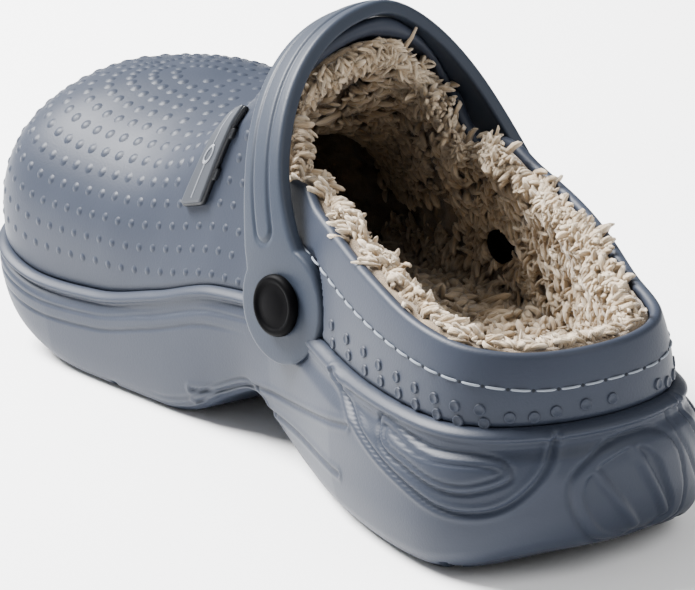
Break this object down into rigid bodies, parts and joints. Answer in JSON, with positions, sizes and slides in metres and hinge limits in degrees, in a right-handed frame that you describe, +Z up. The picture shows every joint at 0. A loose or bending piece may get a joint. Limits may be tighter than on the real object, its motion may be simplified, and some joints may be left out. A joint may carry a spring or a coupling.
{
  "type": "lined clog slipper",
  "caption": "Foam clog slipper for the right foot with a domed closed toe, a swinging heel strap on two rivets and a deep fleece lining.",
  "frame": {"origin": "centre of the shoe's outline on the floor it stands on", "axes": "+Y to the toe, +X to the outer (lateral) side of this right shoe, +Z up"},
  "size_m": [0.1216, 0.2998, 0.1226],
  "materials": {
    "foam_shell": "satin",
    "foam_strap": "satin",
    "fleece": "rough",
    "fleece_insole": "rough",
    "rivet_black": "satin",
    "badge_grey": "satin"
  },
  "bodies": {
    "root": {"clog_shell": "foam_shell", "heel_strap": "foam_strap", "fleece_lining": "fleece", "insole": "fleece_insole", "rivet_medial": "rivet_black", "rivet_lateral": "rivet_black", "badge_plate": "badge_grey"}
  },
  "joints": []
}
